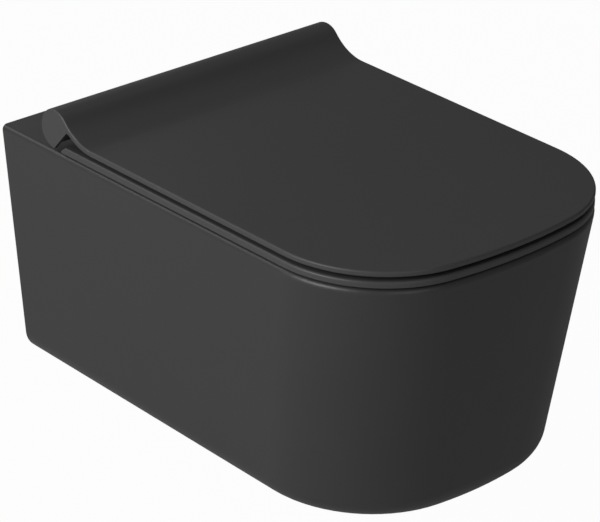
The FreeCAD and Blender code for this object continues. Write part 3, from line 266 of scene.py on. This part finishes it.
def onBothSides(grow, given, shape, height=0.0):
    # the shape to the left and to the right of the middle, at one distance from the wall
    left = grow.add("ShaderNodeCombineXYZ", None,
                    {"X": given["Half Spacing"] * -1, "Y": given["Rear"] * -1, "Z": height})
    across = grow.add("ShaderNodeCombineXYZ", None, {"X": given["Half Spacing"] * 2})
    pair = grow.add("GeometryNodeMeshLine", None,
                    {"Count": 2, "Start Location": left, "Offset": across})
    return grow.add("GeometryNodeInstanceOnPoints", None, {"Points": pair, "Instance": shape})


def growPiece(name, seed, grow, shape, sizes, slot, body=None, node=None):
    # runs the tree on the seed mesh and keeps the result as a plain mesh in the node's place
    real = grow.add("GeometryNodeRealizeInstances", None, {"Geometry": shape})
    coated = grow.add("GeometryNodeSetMaterial", None,
                      {"Geometry": real, "Material": finishes[slot]})
    out = grow.tree.nodes.new("NodeGroupOutput")
    grow.tree.links.new(coated.socket, out.inputs["Geometry"])
    piece = bpy.data.objects.new(name, seed)
    bpy.context.scene.collection.objects.link(piece)
    modifier = piece.modifiers.new("grow", "NODES")
    modifier.node_group = grow.tree
    for item in grow.tree.interface.items_tree:
        if item.in_out == "INPUT" and item.name in sizes:
            modifier[item.identifier] = sizes[item.name]
    ready = piece.evaluated_get(bpy.context.evaluated_depsgraph_get())
    made = bpy.data.meshes.new_from_object(ready)
    piece.modifiers.clear()
    piece.data = made
    made.shade_smooth()
    made.set_sharp_from_angle(angle=math.radians(sharpAngle))
    if body:
        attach(piece, body)
    if node:
        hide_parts(node)
    print(name, "grown,", len(made.polygons), "faces")
    return piece


def turned(name, profile, steps):
    # a closed mesh turned round Z from (radius, height) pairs, first and last on the axis
    shape = bmesh.new()
    rings = []
    for radius, height in profile:
        places = [(radius * math.cos(turn), radius * math.sin(turn), height)
                  for turn in (2 * math.pi * step / steps for step in range(steps))]
        rings.append([shape.verts.new(place) for place in (places if radius else places[:1])])
    for low, high in zip(rings, rings[1:]):
        for step in range(steps):
            ahead = (step + 1) % steps
            corners = [low[step % len(low)], low[ahead % len(low)],
                       high[ahead % len(high)], high[step % len(high)]]
            shape.faces.new(dict.fromkeys(corners))
    bmesh.ops.recalc_face_normals(shape, faces=shape.faces)
    mesh = bpy.data.meshes.new(name)
    shape.to_mesh(mesh)
    shape.free()
    return mesh


# rubber buffers: four under the lid and four under the seat
lidBuffers = {
    "Across": 0.290, "Rear": 0.205, "Front": 0.425, "steps": 48,
    "profile": ((0, 0.1091), (0.0020, 0.1088), (0.0034, 0.1085), (0.0052, 0.1086), (0.0063, 0.1092),
                (0.0070, 0.1104), (0.0070, 0.1115), (0.0066, 0.1117), (0.0066, 0.1120),
                (0.0070, 0.1122), (0.0070, 0.1124), (0.0035, 0.1124), (0.0035, 0.1152),
                (0.0031, 0.1155), (0, 0.1155)),
}
seatBuffers = {
    "Across": 0.290, "Rear": 0.205, "Front": 0.425, "steps": 48,
    "profile": ((0, 0.1006), (0.0030, 0.1004), (0.0046, 0.1001), (0.0068, 0.1001), (0.0080, 0.1005),
                (0.0087, 0.1012), (0.0089, 0.1024), (0.0089, 0.1046), (0.0085, 0.1052),
                (0, 0.1052)),
}


def addBuffers(name, sizes, body, node):
    # one buffer set on the corners of a rectangle
    grow, given = startTree(name + "Tree", ("Across", "Rear", "Front"))
    along = given["Front"] - given["Rear"]
    corners = grow.add("GeometryNodeMeshGrid", None,
                       {"Size X": given["Across"], "Size Y": along,
                        "Vertices X": 2, "Vertices Y": 2})
    middle = (given["Front"] + given["Rear"]) * -0.5
    shift = grow.add("ShaderNodeCombineXYZ", None, {"Y": middle})
    moved = grow.add("GeometryNodeTransform", None, {"Geometry": corners, "Translation": shift})
    repeated = grow.add("GeometryNodeInstanceOnPoints", None,
                        {"Points": moved, "Instance": given["Geometry"]})
    seed = turned(name + "One", sizes["profile"], sizes["steps"])
    growPiece(name, seed, grow, repeated, sizes, "rubber", body, node)


addBuffers("lidBuffers", lidBuffers, "lid", "lid_buffers")
addBuffers("seatBuffers", seatBuffers, "seat", "seat_buffers")

# bolts and screws: a turned core with a rolled thread wound on it, on both sides
seatBolt = {
    "Half Spacing": 0.0775, "Rear": 0.080, "Thread Low": 0.0536, "Thread High": 0.0985,
    "Core": 0.00262, "Outer": 0.0030, "Pitch": 0.0010, "steps": 24, "ridgePoints": 4,
    "profile": ((0, 0.0530), (0.0020, 0.0530), (0.00262, 0.0536), (0.00262, 0.0985),
                (0.0030, 0.0990), (0.0030, 0.1088), (0.0047, 0.1088), (0.0050, 0.1091),
                (0.0050, 0.1138), (0.0044, 0.1144), (0.0029, 0.1144), (0.0025, 0.1141),
                (0.0025, 0.1116), (0, 0.1110)),
}
lockingScrew = {
    "Half Spacing": 0.090, "Rear": 0.038, "Thread Low": -0.0610, "Thread High": -0.0175,
    "Core": 0.00350, "Outer": 0.0040, "Pitch": 0.00125, "steps": 24, "ridgePoints": 4,
    "profile": ((0, -0.0578), (0.0020, -0.0580), (0.0020, -0.0614), (0.0024, -0.0618),
                (0.0030, -0.0618), (0.0035, -0.0612), (0.0035, -0.0180), (0.0028, -0.0158),
                (0, -0.0158)),
}


def addThreaded(name, sizes, body, node):
    # the core's mesh is the tree's geometry; the thread is a wire wound on a helix
    labels = ("Half Spacing", "Rear", "Thread Low", "Thread High", "Core", "Outer", "Pitch")
    grow, given = startTree(name + "Tree", labels)
    height = given["Thread High"] - given["Thread Low"]
    radius = (given["Core"] + given["Outer"]) * 0.5
    helix = grow.add("GeometryNodeCurveSpiral", None,
                     {"Resolution": turnPoints, "Rotations": height / given["Pitch"],
                      "Start Radius": radius, "End Radius": radius, "Height": height})
    ridge = woundWire(grow, helix, (given["Outer"] - given["Core"]) * 0.5, sizes["ridgePoints"])
    lift = grow.add("ShaderNodeCombineXYZ", None, {"Z": given["Thread Low"]})
    raised = grow.add("GeometryNodeTransform", None, {"Geometry": ridge, "Translation": lift})
    whole = grow.add("GeometryNodeJoinGeometry", None, {"Geometry": [given["Geometry"], raised]})
    seed = turned(name + "Core", sizes["profile"], sizes["steps"])
    growPiece(name, seed, grow, onBothSides(grow, given, whole), sizes, "steel", body, node)


addThreaded("seatBolts", seatBolt, "pan", "seat_bolt")
addThreaded("lockingScrews", lockingScrew, "pan", "locking_screw")

# grip ribs on the rubber expanders, below their bulge
expanderRibs = {
    "Half Spacing": 0.0775, "Rear": 0.080, "Lowest": 0.0640, "Step": 0.0016, "Ribs": 5,
    "Radius": 0.0069, "Thickness": 0.00035, "ringPoints": 48, "wirePoints": 8,
}


def addRibs(name, sizes, body):
    labels = ("Half Spacing", "Rear", "Lowest", "Step", "Ribs", "Radius", "Thickness")
    grow, given = startTree(name + "Tree", labels)
    ring = grow.add("GeometryNodeCurvePrimitiveCircle", None,
                    {"Resolution": sizes["ringPoints"], "Radius": given["Radius"]})
    rib = woundWire(grow, ring, given["Thickness"], sizes["wirePoints"])
    rise = grow.add("ShaderNodeCombineXYZ", None, {"Z": given["Step"]})
    stack = grow.add("GeometryNodeMeshLine", None, {"Count": given["Ribs"], "Offset": rise})
    ribs = grow.add("GeometryNodeInstanceOnPoints", None, {"Points": stack, "Instance": rib})
    repeated = onBothSides(grow, given, ribs, given["Lowest"])
    growPiece(name, bpy.data.meshes.new(name + "Seed"), grow, repeated, sizes, "rubber", body)


addRibs("expanderRibs", expanderRibs, "pan")

# springs behind the release buttons: an open coil between two closed end turns
buttonSpring = {
    "Half Spacing": 0.0775, "Front": -0.09345, "Middle": 0.1106, "Length": 0.0045,
    "Radius": 0.0043, "Wire": 0.00025, "Turns": 3, "wirePoints": 10,
}


def addSpring(name, side, node):
    # its front end sits at the button and its rear end at the hinge base; the coil is baked in
    # place and follows no body
    sizes = {**buttonSpring, "Across": side * buttonSpring["Half Spacing"]}
    labels = ("Across", "Front", "Middle", "Length", "Radius", "Wire", "Turns")
    grow, given = startTree(name + "Tree", labels)
    radius, length = given["Radius"], given["Length"]
    coil = grow.add("GeometryNodeCurveSpiral", None,
                    {"Resolution": turnPoints, "Rotations": given["Turns"],
                     "Start Radius": radius, "End Radius": radius, "Height": length})
    first = grow.add("GeometryNodeCurvePrimitiveCircle", None,
                     {"Resolution": turnPoints, "Radius": radius})
    far = grow.add("ShaderNodeCombineXYZ", None, {"Z": length})
    last = grow.add("GeometryNodeTransform", None, {"Geometry": first, "Translation": far})
    path = grow.add("GeometryNodeJoinGeometry", None, {"Geometry": [coil, first, last]})
    metal = woundWire(grow, path, given["Wire"], sizes["wirePoints"])
    place = grow.add("ShaderNodeCombineXYZ", None,
                     {"X": given["Across"], "Y": given["Front"], "Z": given["Middle"]})
    laid = grow.add("GeometryNodeTransform", None,
                    {"Geometry": metal, "Translation": place, "Rotation": (-math.pi / 2, 0, 0)})
    seed = bpy.data.meshes.new(name + "Seed")
    piece = growPiece(name, seed, grow, laid, sizes, "steel", node=node)
    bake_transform(piece)


addSpring("leftSpring", -1, "button_spring_left")
addSpring("rightSpring", 1, "button_spring_right")

# camera, light and floor
studio = {
    "lens": 205.31, "sensor": 36, "cameraPlace": (-2.06664, -2.42799, 1.47378),
    "azimuth": 43.381, "elevation": 26.280, "roll": 2.000,
    "floorDrop": 0.320, "floorSize": 30,
    "white": (1, 1, 1, 1), "surround": 0.12, "background": 1.0,
    "floorShade": (0.60, 0.60, 0.60, 1), "floorShadow": 0.03,
    "lightAim": (0, -0.25, 0),
    "lights": {  # each soft light's place, size and power
        "key": ((-3.3, -0.2, 1.6), (2.4, 2.0), 92),
        "front": ((-0.9, -3.4, 1.2), (1.6, 1.6), 11.5),
        "back": ((-1.8, 3.2, 2.6), (2.0, 1.6), 27),
        "behind": ((1.4, 3.4, 1.8), (2.0, 1.2), 5.0),
        "top": ((0.8, -0.2, 3.2), (1.5, 1.5), 3.5),
    },
}


def addCamera():
    camera = bpy.data.objects.new("camera", bpy.data.cameras.new("camera"))
    camera.data.lens = studio["lens"]
    camera.data.sensor_width = studio["sensor"]
    azimuth = math.radians(studio["azimuth"])
    elevation = math.radians(studio["elevation"])
    back = Vector((-math.sin(azimuth) * math.cos(elevation),
                   -math.cos(azimuth) * math.cos(elevation), math.sin(elevation)))
    right = Vector((math.cos(azimuth), -math.sin(azimuth), 0))
    up = back.cross(right)
    turn = Matrix((right, up, back)).transposed().to_4x4()
    roll = Matrix.Rotation(math.radians(studio["roll"]), 4, "Z")
    camera.matrix_world = Matrix.Translation(studio["cameraPlace"]) @ turn @ roll
    bpy.context.scene.collection.objects.link(camera)
    bpy.context.scene.camera = camera


def addAreaLight(name, place, size, power):
    light = bpy.data.objects.new(name, bpy.data.lights.new(name, "AREA"))
    light.data.shape = "RECTANGLE"
    light.data.size, light.data.size_y = size
    light.data.energy = power
    light.location = place
    aim = Vector(studio["lightAim"]) - Vector(place)
    light.rotation_euler = aim.to_track_quat("-Z", "Y").to_euler()
    bpy.context.scene.collection.objects.link(light)


def addSurround():
    # plain light from all round, and a white backdrop for the camera
    world = bpy.data.worlds.new("studio")
    bpy.context.scene.world = world
    world.use_nodes = True
    world.node_tree.nodes.clear()
    shader = Wire(world.node_tree)
    seen = shader.add("ShaderNodeLightPath", output="Is Camera Ray")
    plain = shader.add("ShaderNodeBackground", None,
                       {"Color": studio["white"], "Strength": studio["surround"]})
    white = shader.add("ShaderNodeBackground", None,
                       {"Color": studio["white"], "Strength": studio["background"]})
    blend = shader.add("ShaderNodeMixShader", None, {0: seen, 1: plain, 2: white})
    endTree(shader, blend, "ShaderNodeOutputWorld")


def addFloor():
    # white to the camera, but for a faint share that takes the shadow
    bpy.ops.mesh.primitive_plane_add(size=studio["floorSize"],
                                     location=(0, 0, -studio["floorDrop"]))
    floor = bpy.context.object
    floor.name = "floor"
    material, shader = startFinish("pale floor")
    seen = shader.add("ShaderNodeLightPath", output="Is Camera Ray")
    white = shader.add("ShaderNodeEmission", None,
                       {"Color": studio["white"], "Strength": studio["background"]})
    matt = shader.add("ShaderNodeBsdfDiffuse", None, {"Color": studio["floorShade"]})
    share = seen * (1 - studio["floorShadow"])
    blend = shader.add("ShaderNodeMixShader", None, {0: share, 1: matt, 2: white})
    endTree(shader, blend, "ShaderNodeOutputMaterial")
    floor.data.materials.append(material)


addCamera()
addSurround()
addFloor()
for name, values in studio["lights"].items():
    addAreaLight(name, *values)
bpy.context.scene.view_settings.view_transform = "Standard"
print("studio set")
